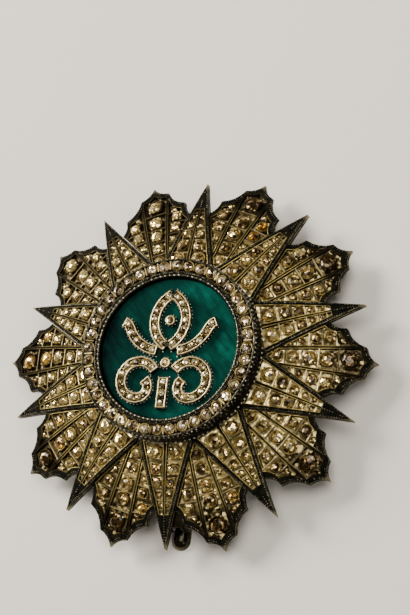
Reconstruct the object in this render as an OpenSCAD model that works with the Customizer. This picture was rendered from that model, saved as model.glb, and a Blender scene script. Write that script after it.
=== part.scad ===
// A round breast star of oxidised silver, set with cut stones round an enamel medallion.
// Ten spikes and ten scalloped petals lie on a shallow dome, on a back plate with its pin.
// Millimetres. The first spike points along +Y, the star faces +Z and lies on z = 0.

/* [Star] */
// Radius from the centre to the tips of the spikes
star_r = 43; // [39:0.5:47]
// Radius of the sphere that the top edges of the spikes lie on
dome_r = 116; // [100:1:140]
// Height of the spike tips above the surface that the star lies on
tip_lift = 6.2; // [5.6:0.1:8]
// Depth of a spike beside the medallion, from its top edge to its underside
ray_t = 2.4; // [2.1:0.1:3]
// Depth of a spike at its tip
tip_t = 1.7; // [1.5:0.1:2.2]
// Depth of the channels that hold the stones
channel_d = 0.9; // [0.6:0.05:1]
// How far the large stones of the rays stand out of their channels
ray_proud = 0.45; // [0.3:0.05:0.6]
// Gap between pieces that lie against one another
gap = 0.1; // [0.05:0.01:0.15]

/* [Spikes] */
// Share of the step between two spikes that a spike's base takes up
spike_share = 0.9; // [0.75:0.01:0.94]
// Thickness of the side walls of a spike
spike_wall = 0.9; // [0.6:0.05:1.1]
// Width of the rib along the middle of a spike, at its base
rib_w = 0.9; // [0.6:0.05:1.2]
// Length of the solid point of a spike
point_l = 7.3; // [6:0.1:10]

/* [Petals] */
// Radius from the centre to the tips of the petals
petal_r = 44.8; // [43:0.1:47]
// How far the top edges of the petals lie below those of the spikes
petal_drop = 0.5; // [0.2:0.05:0.6]
// Thickness of the scalloped border of a petal
border_w = 1.1; // [0.8:0.05:1.3]
// Thickness of the edge of a petal beside a spike
edge_w = 0.4; // [0.3:0.05:0.6]
// Thickness of the two walls between the channels of a petal
petal_wall = 0.7; // [0.5:0.05:0.9]
// Diameter of the largest stone in a petal's side channels
side_stone_d = 2.4; // [1.8:0.05:2.5]

/* [Medallion] */
// Radius of the medallion's foot, where the rays begin
ring_r = 20.6; // [19:0.1:22]
// Height of the medallion from its seat on the spikes to its rim
case_h = 5; // [4.2:0.1:6]
// Width of the medallion's seat on the inner ends of the spikes
seat_w = 1.2; // [0.8:0.1:1.6]
// Thickness of the outer rim beside the ring of stones
rim_w = 0.35; // [0.25:0.05:0.5]
// Diameter of a stone in the ring
ring_stone_d = 2.25; // [1.8:0.05:2.5]
// Room round a stone in the ring's groove
groove_room = 0.2; // [0.1:0.05:0.3]
// Width of the beaded band between the enamel and the ring of stones
band_w = 1.2; // [0.9:0.05:1.5]
// How far the ring's stones stand out of their groove
ring_proud = 0.35; // [0.2:0.05:0.5]
// Number of stones in the ring
ring_stone_n = 40; // [30:1:40]
// Radius of the enamel disc
enamel_r = 16.3; // [15:0.1:16.6]
// Thickness of the enamel disc
enamel_t = 1.1; // [0.8:0.1:1.4]
// Width of the bevels round the enamel
bevel_w = 0.25; // [0.15:0.05:0.4]
// How far the enamel lies below the rim
enamel_drop = 1.25; // [1:0.05:1.6]
// Thickness of the case's floor under the enamel
floor_t = 1; // [0.7:0.1:1.3]
// Radius of the stud that carries the case on the back plate
stud_r = 5; // [3:0.5:8]

/* [Ornament] */
// Width of the ornament's ribbons
ribbon_w = 2.5; // [2.1:0.05:2.7]
// Height of the ribbons above the enamel
ribbon_h = 1.1; // [0.9:0.05:1.4]
// Thickness of the ribbons' edges
ribbon_edge = 0.35; // [0.25:0.05:0.45]
// Depth of the ribbons' channel
ribbon_d = 0.55; // [0.4:0.05:0.7]
// Diameter of a stone in the ribbons
ribbon_stone_d = 1.5; // [1.2:0.05:1.6]
// How far the stones stand out of the ribbons' channel
ribbon_proud = 0.3; // [0.2:0.05:0.4]
// Distance between the stones in the ribbons
ribbon_pitch = 2.05; // [1.9:0.05:2.4]

/* [Back] */
// Radius of the back plate
plate_r = 26; // [24:0.5:30]
// Thickness of the back plate
plate_t = 1; // [0.8:0.1:1.3]
// Distance of the hinge from the centre
hinge_y = 21.5; // [20:0.5:23]
// Thickness of a hinge lug
lug_t = 2; // [1.5:0.1:2.5]
// Width of a hinge lug along the pin
lug_w = 5; // [4:0.1:6]
// Length of the pin's barrel between the lugs
barrel_l = 8; // [6:0.5:10]
// Radius of the pin's barrel
barrel_r = 1.6; // [1.3:0.05:1.8]
// Radius of the pin's trunnions in the lugs
trunnion_r = 0.8; // [0.6:0.05:1]
// Radius of the pin
pin_r = 0.8; // [0.6:0.05:0.9]
// Length of the pin's tapered point
taper_l = 8; // [5:0.5:12]
// Distance of the catch's round end from the centre
catch_y = 42; // [41:0.1:43]
// Width of the catch and its round end
catch_w = 4.4; // [4:0.1:5]
// Thickness of the catch's floor and of its wall
catch_t = 1.2; // [1:0.1:1.4]
// Length of the catch's wall along the pin
catch_l = 6; // [4:0.5:8]
// Length of the catch's round end beyond its wall
tongue_l = 4; // [3:0.5:5]

/* [Hidden] */
ray_n = 10;
$fn = 96;
ball_fn = 180;
facets = 8;

half_step = 180 / ray_n;

// Places of the stones: first the share of the ray's length from the medallion to its tip,
// then the stone's diameter as a share of its channel's width there. For the side channels
// the diameter is a share of the largest stone's, and the third number is the stone's place
// over the channel's width, from the wall between the channels to the petal's edge.
SPIKE_STONES = [[0.086, 0.77], [0.248, 0.82]];
PETAL_STONES = [[0.775, 0.66], [0.564, 0.64], [0.423, 0.68], [0.268, 0.72], [0.128, 0.76]];
SIDE_STONES = [[0.6, 1, 0.42], [0.467, 0.975, 0.48]];

// Points of the petals' outline: angle is a share of half a step, and along is a share of
// the petal's length from the medallion to its tip
CUSPS = [[0.622, 0.735], [0.262, 0.894], [0, 1]];
// Where the petal's outline leaves the spike, as a share of the petal's length
joint_along = 0.587;
// Depth of a scallop as a share of the distance between its points
scallop = 0.13;
scallop_n = 4;
// Angle of the walls between the petal's channels, as a share of half a step
wall_turn = 0.253;

// The ornament's ribbons on its right half: arcs with their centre and radius, their first
// and last angle, all lengths as shares of the enamel's radius. The left half mirrors it.
SCROLLS = [
    [[-0.2, 0.38, 0.43, 62, -60]],
    [[0.09, 0.48, 0.53, -84, -22], [0.706, 0.232, 0.134, 158, 100]],
    [[0.37, -0.46, 0.26, 150, -90], [0.37, -0.57, 0.15, -90, -235]]];
// The straight leaf at the foot of the ornament, and the middles of its single settings
LEAF = [[0, -0.42], [0, -0.86]];
SETTINGS = [[0, 0.38], [0, -0.22]];

// Heights above the plane of the spike tips
dome_z = -sqrt(dome_r * dome_r - star_r * star_r);
function dome_h(r) = sqrt(dome_r * dome_r - r * r) + dome_z;

// The rays' underside is a flatter sphere, so that the rays grow thinner to their tips
under_fall = dome_h(ring_r) - ray_t + tip_t;
under_reach = (pow(star_r, 2) - pow(ring_r, 2)) / under_fall;
under_r = sqrt(pow(ring_r, 2) + pow((under_reach + under_fall) / 2, 2));
under_z = -tip_t - sqrt(under_r * under_r - star_r * star_r);
function under_h(r) = sqrt(under_r * under_r - r * r) + under_z;

inner_r = ring_r - seat_w;
base_hw = ring_r * tan(half_step) * spike_share;
slope = base_hw / (star_r - ring_r);
lean = sqrt(1 + slope * slope);

seat_z = tip_lift + dome_h(inner_r) + gap;
rim_z = seat_z + case_h;
groove_w = ring_stone_d + 2 * groove_room;
case_r = enamel_r + gap + band_w + groove_w + rim_w;
ring_stone_r = case_r - rim_w - groove_w / 2;
enamel_top = rim_z - enamel_drop;
case_floor = enamel_top - enamel_t - gap;
ribbon_z = enamel_top + gap / 2;

pin_z = catch_t + gap + pin_r;
tongue_x = catch_w / 2 - pin_r - gap * 2;
pin_l = hinge_y + catch_y - tongue_l - gap;

function turn(p, a) = [p.x * cos(a) - p.y * sin(a), p.x * sin(a) + p.y * cos(a)];
function polar(r, a) = [r * cos(a), r * sin(a)];
function flip(points) = [for (i = [len(points) - 1:-1:0]) [points[i].x, -points[i].y]];
function cross2(a, b) = a.x * b.y - a.y * b.x;
// Where the line through a and b meets the line through c and d
function meet(a, b, c, d) = a + (b - a) * cross2(c - a, d - c) / cross2(b - a, d - c);
// Points of a hollow curve from a to b, without b; its middle lies to the left of the way
function hollow(a, b, n = scallop_n) = [for (i = [0:n - 1])
    let (t = i / n, side = [a.y - b.y, b.x - a.x])
    a + (b - a) * t + side * 4 * scallop * t * (1 - t)];

// Half the width of a spike at x along it, with its edge moved in by inset
function spike_hw(x, inset = 0) = slope * (star_r - x) - inset * lean;
function rib_hw(x) = rib_w / 2 * (1 - 0.5 * (x - ring_r) / (star_r - ring_r));

function spike_outline() = let (
    side = [[star_r, 0], [ring_r, base_hw], polar(1, 0) * inner_r + [0, base_hw * inner_r / ring_r]])
    concat(side, flip([side[1], side[2]]));

// The channel on the left of a spike's rib
function spike_channel() = let (
    x0 = inner_r + seat_w / 2,
    x1 = star_r - point_l)
    [[x0, rib_hw(x0)], [x1, rib_hw(x1)],
     [x1, spike_hw(x1, spike_wall)], [x0, spike_hw(x0, spike_wall)]];

// The left edge of a petal, at x along the spike beside it, moved in by inset
function petal_edge(x, inset = 0) = turn([x, -spike_hw(x, -gap - inset)], half_step);
function petal_along(t) = ring_r + t * (petal_r - ring_r);
function cusp(row, inset = 0) = polar(petal_along(row[1]) - inset, row[0] * half_step);
joint_x = petal_along(joint_along);

function petal_outline() = let (
    start = meet(petal_edge(ring_r), petal_edge(star_r), [0, 0], [ring_r, 0]),
    joint = petal_edge(joint_x),
    left = concat(
        hollow(cusp(CUSPS[2]), cusp(CUSPS[1])),
        hollow(cusp(CUSPS[1]), cusp(CUSPS[0])),
        hollow(cusp(CUSPS[0]), joint), [joint]))
    concat([start], flip([for (i = [1:len(left) - 1]) left[i]]), left);

// A point on the wall between two channels, at radius r, moved sideways by off
function on_wall(r, off) = turn([r, off], wall_turn * half_step);

// The middle channel of a petal
function middle_channel() = let (
    in = -petal_wall / 2,
    start = meet(petal_edge(ring_r, edge_w), petal_edge(star_r, edge_w), [0, 0], [ring_r, 0]),
    low = meet(petal_edge(ring_r, edge_w), petal_edge(star_r, edge_w),
        on_wall(ring_r, in), on_wall(petal_r, in)),
    high = on_wall(petal_along(CUSPS[1][1]) - border_w, in),
    end = [petal_r - 2.2 * border_w, 0],
    left = concat(hollow(end, high), [high, low]))
    concat([start], flip([for (i = [1:len(left) - 1]) left[i]]), left);

// The channel on the left of the middle one
function side_channel() = let (
    out = petal_wall / 2,
    low = meet(petal_edge(ring_r, edge_w), petal_edge(star_r, edge_w),
        on_wall(ring_r, out), on_wall(petal_r, out)),
    high = on_wall(petal_along(CUSPS[1][1]) - 1.9 * border_w, out),
    corner = turn(cusp(CUSPS[0], 1.4 * border_w), -0.06 * half_step),
    last = petal_edge(joint_x - border_w, edge_w))
    concat([low], hollow(high, corner), hollow(corner, last), [last]);

// A ball whose seam lies away from the ray, which points along +X
module ball(r, z) {
    translate([0, 0, z]) rotate([0, 0, 180]) sphere(r = r, $fn = ball_fn);
}

module prism(outline) {
    translate([0, 0, -tip_lift]) linear_extrude(height = 3 * tip_lift) polygon(outline);
}

// A tray with its top edge drop below the dome, and channels cut down from there
module tray(outline, drop) {
    difference() {
        intersection() {
            prism(outline);
            ball(dome_r - drop, dome_z);
        }
        ball(under_r, under_z);
        difference() {
            children();
            ball(dome_r - drop - channel_d, dome_z);
        }
    }
}

module ray_place(turned) {
    translate([0, 0, tip_lift]) rotate([0, 0, turned]) children();
}

function spike_turn(i) = 90 - (i - 1) * 2 * half_step;
function petal_turn(i) = spike_turn(i) - half_step;

module spike(i) {
    color("dimgray") ray_place(spike_turn(i)) tray(spike_outline(), 0) {
        prism(spike_channel());
        prism(flip(spike_channel()));
    }
}

module petal(i) {
    color("darkkhaki") ray_place(petal_turn(i)) tray(petal_outline(), petal_drop) {
        prism(middle_channel());
        prism(side_channel());
        prism(flip(side_channel()));
    }
}

// A cut stone stands on its point: a pavilion of 8 facets, a crown of 16 and a table.
// Its points are rings of [radius, height, turn], as shares of its radius and height.
CUT = [[1, 0.42, 0], [0.56, 1, 0.5]];
function stone_points(d, h) = concat(
    [[0, 0, 0]],
    [for (ring = CUT) for (k = [0:facets - 1])
        let (a = (k + ring[2]) * 360 / facets)
        [d / 2 * ring[0] * cos(a), d / 2 * ring[0] * sin(a), h * ring[1]]]);
function stone_faces(n) = concat(
    [for (k = [0:facets - 1]) [n, n + 1 + k, n + 1 + (k + 1) % facets]],
    [for (k = [0:facets - 1])
        [n + 1 + k, n + 1 + facets + k, n + 1 + (k + 1) % facets]],
    [for (k = [0:facets - 1])
        [n + 1 + (k + 1) % facets, n + 1 + facets + k, n + 1 + facets + (k + 1) % facets]],
    [[for (k = [facets - 1:-1:0]) n + 1 + facets + k]]);
points_each = 1 + 2 * facets;

// A stone's points laid on the dome at radius r and angle a, level above the dome
function lay(p, r, a, level) = let (
    tilt = asin(r / dome_r),
    out = dome_r + level + p.z)
    [(out * sin(tilt) + p.x * cos(tilt)) * cos(a) - p.y * sin(a),
     (out * sin(tilt) + p.x * cos(tilt)) * sin(a) + p.y * cos(a),
     out * cos(tilt) - p.x * sin(tilt) + dome_z];

function stone_h(d) = min(channel_d + ray_proud, 0.62 * d);

// stones is a list of [diameter, radius from the centre, angle, level]
module field(stones) {
    polyhedron(
        points = [for (s = stones) for (p = stone_points(s[0], stone_h(s[0])))
            lay(p, s[1], s[2], s[3])],
        faces = [for (i = [0:len(stones) - 1]) each stone_faces(i * points_each)]);
}

// The distance and angle of a stone at p in the frame of a ray that is turned by a
function seen_from(p, d, a, level) = [d, norm(p), atan2(p.y, p.x) + a, level];

spike_level = -channel_d + gap;
petal_level = -petal_drop - channel_d + gap;

function spike_row(a) = [for (row = SPIKE_STONES) for (side = [-1, 1])
    let (
        x = ring_r + row[0] * (star_r - ring_r),
        low = rib_hw(x),
        high = spike_hw(x, spike_wall))
    seen_from([x, side * (low + high) / 2], row[1] * (high - low), a, spike_level)];

function middle_row(a) = [for (row = PETAL_STONES)
    let (
        x = petal_along(row[0]),
        width = 2 * (x * sin(wall_turn * half_step) - petal_wall / 2))
    seen_from([x, 0], row[1] * width, a, petal_level)];

function side_row(a) = [for (row = SIDE_STONES) for (side = [-1, 1])
    let (
        x = petal_along(row[0]),
        low = on_wall(x, petal_wall / 2),
        high = petal_edge(x, edge_w),
        mid = low + (high - low) * row[2])
    seen_from([mid.x, side * mid.y], row[1] * side_stone_d, a, petal_level)];

module spike_stones() {
    color("cornsilk") translate([0, 0, tip_lift])
        field([for (i = [1:ray_n]) each spike_row(spike_turn(i))]);
}

module petal_stones() {
    color("wheat") translate([0, 0, tip_lift])
        field([for (i = [1:ray_n]) each middle_row(petal_turn(i))]);
}

module petal_side_stones() {
    color("wheat") translate([0, 0, tip_lift])
        field([for (i = [1:ray_n]) each side_row(petal_turn(i))]);
}

// The case: a cup with a groove in its rim, a seat on the spikes and a stud below
module medallion_case() {
    groove_in = ring_stone_r - groove_w / 2;
    groove_z = rim_z - channel_d;
    wall_in = enamel_r + gap;
    wall_z = rim_z - 2 * channel_d;
    stud_z = tip_lift + under_h(0);
    color("dimgray") rotate_extrude() polygon([
        [0, case_floor], [wall_in, case_floor], [wall_in, rim_z - bevel_w],
        [wall_in + bevel_w, rim_z], [groove_in, rim_z], [groove_in, groove_z],
        [case_r - rim_w, groove_z], [case_r - rim_w, rim_z], [case_r, rim_z],
        [case_r, wall_z], [ring_r, seat_z], [inner_r, seat_z],
        [inner_r, case_floor - floor_t], [stud_r, case_floor - floor_t],
        [stud_r, stud_z], [0, stud_z]]);
}

module ring_stones() {
    step = 360 / ring_stone_n;
    points = stone_points(ring_stone_d, channel_d + ring_proud);
    floor_z = rim_z - channel_d + gap;
    color("ivory") polyhedron(
        points = [for (i = [0:ring_stone_n - 1]) for (p = points)
            let (q = turn([ring_stone_r + p.x, p.y], i * step)) [q.x, q.y, floor_z + p.z]],
        faces = [for (i = [0:ring_stone_n - 1]) each stone_faces(i * points_each)]);
}

module enamel_disc() {
    color("darkgreen") rotate_extrude() polygon([
        [0, case_floor + gap], [enamel_r, case_floor + gap], [enamel_r, enamel_top - bevel_w],
        [enamel_r - bevel_w, enamel_top], [0, enamel_top]]);
}

// The middle line of a scroll, arc after arc, in steps of about a sixteenth of the enamel
function arc_steps(arc) = max(2, ceil(abs(arc[4] - arc[3]) * arc[2] / 5));
function scroll_line(arcs) = [for (arc = arcs) for (i = [0:arc_steps(arc)])
    let (a = arc[3] + (arc[4] - arc[3]) * i / arc_steps(arc))
    if (arc == arcs[0] || i > 0)
        (polar(arc[2], a) + [arc[0], arc[1]]) * enamel_r];

function heading(line, i) = let (
    d = line[min(i + 1, len(line) - 1)] - line[max(i - 1, 0)]) d / norm(d);
function beside(line, off, cut) = [for (i = [0:len(line) - 1]) let (
    h = heading(line, i),
    trim = i == 0 ? cut : i == len(line) - 1 ? -cut : 0)
    line[i] + [-h.y, h.x] * off + h * trim];
function reversed(points) = [for (i = [len(points) - 1:-1:0]) points[i]];

// A band of width w along a line, its ends cut back by cut
module band(line, w, cut, h) {
    linear_extrude(height = h)
        polygon(concat(beside(line, w / 2, cut), reversed(beside(line, -w / 2, cut))));
}

LINES = concat(
    [for (arcs = SCROLLS) scroll_line(arcs)],
    [for (arcs = SCROLLS) [for (p = scroll_line(arcs)) [-p.x, p.y]]],
    [[for (p = LEAF) p * enamel_r]]);

module ornament() {
    color("gray") translate([0, 0, ribbon_z]) difference() {
        union() {
            for (line = LINES) band(line, ribbon_w, 0, ribbon_h);
            for (p = SETTINGS) translate(p * enamel_r) cylinder(d = ribbon_w, h = ribbon_h);
        }
        translate([0, 0, ribbon_h - ribbon_d]) {
            for (line = LINES) band(line, ribbon_w - 2 * ribbon_edge, ribbon_edge, ribbon_h);
            for (p = SETTINGS) translate(p * enamel_r)
                cylinder(d = ribbon_w - 2 * ribbon_edge, h = ribbon_h);
        }
    }
}

// Lengths along a line, and the point at a given length
function runs(line, i = 0, sum = 0) = i >= len(line) - 1 ? [sum] :
    concat([sum], runs(line, i + 1, sum + norm(line[i + 1] - line[i])));
function at(line, run, s, i = 0) = i >= len(line) - 2 || run[i + 1] >= s ?
    line[i] + (line[i + 1] - line[i]) * (s - run[i]) / (run[i + 1] - run[i]) :
    at(line, run, s, i + 1);
function ribbon_places(line) = let (
    run = runs(line),
    room = run[len(run) - 1] - 2 * (ribbon_edge + ribbon_stone_d / 2 + gap),
    n = floor(room / ribbon_pitch))
    [for (k = [0:n]) at(line, run, ribbon_edge + ribbon_stone_d / 2 + gap + room * k / n)];

module ornament_stones() {
    places = concat(
        [for (line = LINES) each ribbon_places(line)],
        [for (p = SETTINGS) p * enamel_r]);
    points = stone_points(ribbon_stone_d, ribbon_d + ribbon_proud);
    floor_z = ribbon_z + ribbon_h - ribbon_d + gap;
    color("ivory") polyhedron(
        points = [for (c = places) for (p = points) [c.x + p.x, c.y + p.y, floor_z + p.z]],
        faces = [for (i = [0:len(places) - 1]) each stone_faces(i * points_each)]);
}

// Everything of the back plate that lies above its own top face is cut away by this ball
module back_ball(depth) {
    translate([0, 0, tip_lift]) ball(under_r - gap - depth, under_z);
}

// The rounded end of the catch, which is flat below
module catch_nose() {
    intersection() {
        translate([tongue_x, catch_w / 2 - catch_y, 0]) {
            sphere(d = catch_w);
            rotate([-90, 0, 0]) cylinder(d = catch_w, h = tongue_l - catch_w / 2);
        }
        translate([tongue_x - catch_w, -2 * catch_y, 0]) cube([2 * catch_w, 2 * catch_y, catch_w]);
    }
}

module back_plate() {
    lug_x = barrel_l / 2 + gap;
    foot_h = tip_lift + under_h(0);
    wall_x = tongue_x + catch_w / 2 - catch_t;
    wall_y = catch_y - tongue_l;
    color("slategray") {
        difference() {
            intersection() {
                union() {
                    difference() {
                        linear_extrude(height = 2 * foot_h) union() {
                            circle(r = plate_r);
                            translate([tongue_x - catch_w / 2, -wall_y]) square([catch_w, wall_y]);
                        }
                        back_ball(plate_t);
                    }
                    for (side = [0, 1]) mirror([side, 0, 0])
                        translate([lug_x, hinge_y - lug_w / 2, 0])
                            cube([lug_t, lug_w, foot_h]);
                    translate([wall_x, -wall_y, 0]) cube([catch_t, catch_l, foot_h]);
                    translate([tongue_x - catch_w / 2, -wall_y, 0])
                        cube([catch_w, catch_l, catch_t]);
                    catch_nose();
                }
                back_ball(0);
            }
            translate([-barrel_l, hinge_y, pin_z]) rotate([0, 90, 0])
                cylinder(r = trunnion_r + gap, h = 2 * barrel_l);
        }
    }
}

// The pin with its barrel and trunnions is one piece
module brooch_pin() {
    trunnion_l = barrel_l + 2 * (gap + lug_t);
    color("silver") translate([0, hinge_y, pin_z]) {
        rotate([90, 0, 0]) rotate_extrude() polygon([
            [0, 0], [pin_r, 0], [pin_r, pin_l - taper_l], [pin_r / 4, pin_l], [0, pin_l]]);
        translate([-barrel_l / 2, 0, 0]) rotate([0, 90, 0]) cylinder(r = barrel_r, h = barrel_l);
        translate([-trunnion_l / 2, 0, 0]) rotate([0, 90, 0])
            cylinder(r = trunnion_r, h = trunnion_l);
    }
}

back_plate();
brooch_pin();
medallion_case();
enamel_disc();
ornament();
ring_stones();
ornament_stones();
spike_stones();
petal_stones();
petal_side_stones();
for (i = [1:ray_n]) {
    spike(i);
    petal(i);
}
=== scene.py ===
"""Dresses the solids of a round breast star: silver, gilt lines, settings, stones and enamel."""
import cmath
import random
from math import ceil, cos, pi, radians, sin, sqrt, tan

import bpy
import numpy as np
from bpy.props import FloatProperty, FloatVectorProperty, IntProperty, PointerProperty
from mathutils import Matrix, Vector


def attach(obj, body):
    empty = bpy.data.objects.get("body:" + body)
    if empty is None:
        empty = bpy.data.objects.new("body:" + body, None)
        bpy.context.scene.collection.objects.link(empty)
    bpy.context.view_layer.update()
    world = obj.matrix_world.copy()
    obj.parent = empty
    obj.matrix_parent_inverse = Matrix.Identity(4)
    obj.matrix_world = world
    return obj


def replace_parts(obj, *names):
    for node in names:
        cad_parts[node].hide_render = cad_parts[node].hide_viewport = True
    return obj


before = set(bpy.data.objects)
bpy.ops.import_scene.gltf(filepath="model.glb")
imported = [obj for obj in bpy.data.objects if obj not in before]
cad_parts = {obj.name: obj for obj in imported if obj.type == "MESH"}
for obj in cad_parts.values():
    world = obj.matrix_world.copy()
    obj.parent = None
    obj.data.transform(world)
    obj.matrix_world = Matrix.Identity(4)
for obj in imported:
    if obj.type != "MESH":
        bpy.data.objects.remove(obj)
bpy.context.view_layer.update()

bl_info = {
    "name": "Breast Star",
    "version": (1, 0, 0),
    "blender": (4, 5, 0),
    "location": "View3D > Sidebar > Breast Star",
    "description": "Sets the stones of a jewelled breast star and finishes its silver and enamel",
    "category": "Add Mesh",
}

MM = 0.001

# Sizes of the solids in millimetres
STAR_R, DOME_R, TIP_LIFT, CHANNEL_D, GAP, RAY_PROUD = 43, 116, 6.2, 0.9, 0.1, 0.45
SPIKE_SHARE, SPIKE_WALL, RIB_W, POINT_L = 0.9, 0.9, 0.9, 7.3
PETAL_R, PETAL_DROP, BORDER_W, EDGE_W, PETAL_WALL, SIDE_STONE_D = 44.8, 0.5, 1.1, 0.4, 0.7, 2.4
RING_R, CASE_H, SEAT_W, RIM_W, RING_STONE_D, GROOVE_ROOM = 20.6, 5, 1.2, 0.35, 2.25, 0.2
BAND_W, RING_PROUD, RING_STONE_N, ENAMEL_R, ENAMEL_DROP = 1.2, 0.35, 40, 16.3, 1.25
RIBBON_W, RIBBON_H, RIBBON_EDGE, RIBBON_D = 2.5, 1.1, 0.35, 0.55
RIBBON_STONE_D, RIBBON_PITCH, RIBBON_PROUD = 1.5, 2.05, 0.3
RAY_N, HALF_STEP = 10, 18

# Stones along a channel: share of the ray's length, then diameter as a share of the width
SPIKE_ROW = [(0.086, 0.77), (0.248, 0.82), (0.381, 0.85), (0.495, 0.85), (0.590, 0.85)]
PETAL_ROW = [(0.775, 0.66), (0.564, 0.64), (0.423, 0.68), (0.268, 0.72), (0.128, 0.76)]
# In a side channel the diameter is a share of the largest stone's, then comes the place across
SIDE_ROW = [(0.70, 0.5, 0.21), (0.6, 1, 0.42), (0.467, 0.975, 0.48), (0.34, 0.6, 0.5),
            (0.235, 0.4, 0.5)]
CUSPS = [(0.622, 0.735), (0.262, 0.894), (0, 1)]
JOINT_ALONG, SCALLOP, SCALLOP_N, WALL_TURN = 0.587, 0.13, 4, 0.253

# The ornament's ribbons, as shares of the enamel's radius
SCROLLS = [
    [(-0.2, 0.38, 0.43, 62, -60)],
    [(0.09, 0.48, 0.53, -84, -22), (0.706, 0.232, 0.134, 158, 100)],
    [(0.37, -0.46, 0.26, 150, -90), (0.37, -0.57, 0.15, -90, -235)]]
LEAF = [-0.42j, -0.86j]
SETTINGS = [0.38j, -0.22j]

DOME_Z = -sqrt(DOME_R ** 2 - STAR_R ** 2)
INNER_R = RING_R - SEAT_W
SLOPE = RING_R * tan(radians(HALF_STEP)) * SPIKE_SHARE / (STAR_R - RING_R)
LEAN = sqrt(1 + SLOPE ** 2)
GROOVE_W = RING_STONE_D + 2 * GROOVE_ROOM
CASE_R = ENAMEL_R + GAP + BAND_W + GROOVE_W + RIM_W
RING_STONE_R = CASE_R - RIM_W - GROOVE_W / 2
SEAT_Z = TIP_LIFT + sqrt(DOME_R ** 2 - INNER_R ** 2) + DOME_Z + GAP
RIM_Z = SEAT_Z + CASE_H
RIBBON_Z = RIM_Z - ENAMEL_DROP + GAP / 2

# Fine trim in millimetres: where lines, grains, bars and wires lie beside the edges of the solids
LINE_OUT, LINE_SINK, LINE_STEP = {"spike": 0.1, "petal": 0.08}, 0.04, 2.5
BAR_SPARE, BAR_SINK, BAR_REACH = 0.15, 0.12, 0.2
SPIKE_MILLING, PETAL_MILLING = 0.22, 0.32
WIRE_IN, WIRE_STEP, BEAD_OUT, BEAD_SINK = RIBBON_EDGE * 0.8, 0.35, 0.1, 0.45
RIBBON_PRONG, RIBBON_PRONG_OUT = (0.5, 0.5, 0.62), 0.42
RING_COLLET_H, RIBBON_COLLET_H, RING_BAR, RING_BAR_OUT = 0.95, 0.5, (1.9, 0.42, 1.02), 0.1
# A stone's height as a share of its width, its setting's as a share of that, what a prong adds
# to this in millimetres, and how far out it stands as a share of its own width
STONE_SHARE, SETTING_SHARE, PRONG_LIFT, PRONG_OUT = 0.62, 0.62, 0.22, 0.3
# Where a spike's milling starts, its edge beading ends, and its middle beading starts and ends
MILLING_FROM, EDGE_TO, MIDDLE_BEADS = RING_R + 0.6, STAR_R - 1.4, (STAR_R - POINT_L + 0.3, STAR_R - 2.0)
# The kinds of ray: drop below the dome, then the radii of the rubbed tip with its painted reflection and of
# the pale gilding
RAYS = {"spike": (0.0, STAR_R - 0.4, 29), "petal": (PETAL_DROP, PETAL_R - 0.3, 25)}
# Rows of grains round the case: radius, height, size of a grain and pitch
CASE_MILLING = [(CASE_R - 0.12, RIM_Z, 0.34, 0.55), (ENAMEL_R + 0.98, RIM_Z, 0.34, 0.5),
                (CASE_R + 0.02, RIM_Z - 1.6, 0.4, 0.9), (CASE_R + 0.02, RIM_Z - 2.6, 0.4, 1.0)]
CASE_BEADING = [(CASE_R + 0.02, RIM_Z - 0.6, 0.44, 1.1), (CASE_R + 0.02, SEAT_Z + 0.3, 0.5, 1.1),
                (ENAMEL_R + 0.4, RIM_Z, 0.42, 1.1)]

# Stones with an amber foil: petal from the first, channel, and place in its row (right, left, ...)
AMBER = {(0, "side", 2): 1.0, (0, "side", 4): 1.0, (7, "middle", 0): 0.6, (7, "middle", 1): 0.7,
         (7, "side", 2): 0.7, (6, "middle", 1): 0.7, (6, "side", 4): 0.5, (5, "side", 1): 0.6,
         (4, "side", 3): 0.5, (5, "side", 3): 0.5}
# How much darker the outermost stone of a petal's middle channel is, petal from the first
OUTER_TONES = (-1.3, -1.1, -0.8, -1.0, -0.9, -0.9, -1.0, -0.2, 0.0, 0.0)
# How the end faces of a cylinder grow into a model: up or down, lift, shrink and turn
CUT_STEPS = [(1, 0.30, 0.91), (1, 0.17, 0.72), (1, 0.08, 0.46), (-1, -0.2, 0.5, pi / 8),
             (-1, -0.17, 0.06, pi / 8)]
COLLET_STEPS, COLLET_FOOT = [(1, 0.0, 0.86), (1, -0.35, 0.92), (1, 0.0, 0.5)], 1.12
PRONG_STEPS = [(1, 0.18, 0.8), (1, 0.07, 0.45)]

# In metres: depths where the finish of the channel floors comes in and goes out, the way towards
# the upper left in which the gilding is darkened as painted shade (the other way it gets painted
# light) and how far that takes, and the heights of the bumps
FLOOR_IN, FLOOR_OUT = (0.00072, 0.00086), (0.00096, 0.00102)
SHADED_WAY, SHADED_FAR = (-0.75, 0.66, 0.0), 0.026
ROUGH_GRAIN, FINE_GRAIN = 0.00006, 0.00003

# The camera: its direction from the star, its roll, and the star's middle in the picture
VIEW_DIR, VIEW_ROLL, VIEW_FAR = Vector((0.3879, -0.2662, 0.8824)), radians(6.728), 0.473
FOCAL_PX, MIDDLE_PX, PICTURE = 2100.0, (186.6, 362.2), (410, 615)
# Lights: metres to the picture's right, up and above the floor, then size and power
LIGHTS = {"key": (-0.68, 0.42, 0.52, 0.36, 15.5), "top": (0.24, 0.12, 0.92, 0.6, 7.5),
          "fill": (0.7, -0.6, 0.6, 0.3, 1.8)}
SKY_LOW, SKY_HIGH, SKY_STRENGTH = (0.31, 0.30, 0.27), (0.80, 0.76, 0.66), 0.16


# Plane geometry of the rays, in complex millimetres, each ray pointing along +X

def polar(r, angle):
    return cmath.rect(r, radians(angle))


def spike_along(t):
    return RING_R + t * (STAR_R - RING_R)


def spike_hw(x, inset=0.0):
    return SLOPE * (STAR_R - x) - inset * LEAN


def rib_hw(x):
    return RIB_W / 2 * (1 - 0.5 * (x - RING_R) / (STAR_R - RING_R))


def petal_along(t):
    return RING_R + t * (PETAL_R - RING_R)


def petal_edge(x, inset=0.0):
    return complex(x, -spike_hw(x, -GAP - inset)) * polar(1, HALF_STEP)


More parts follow.
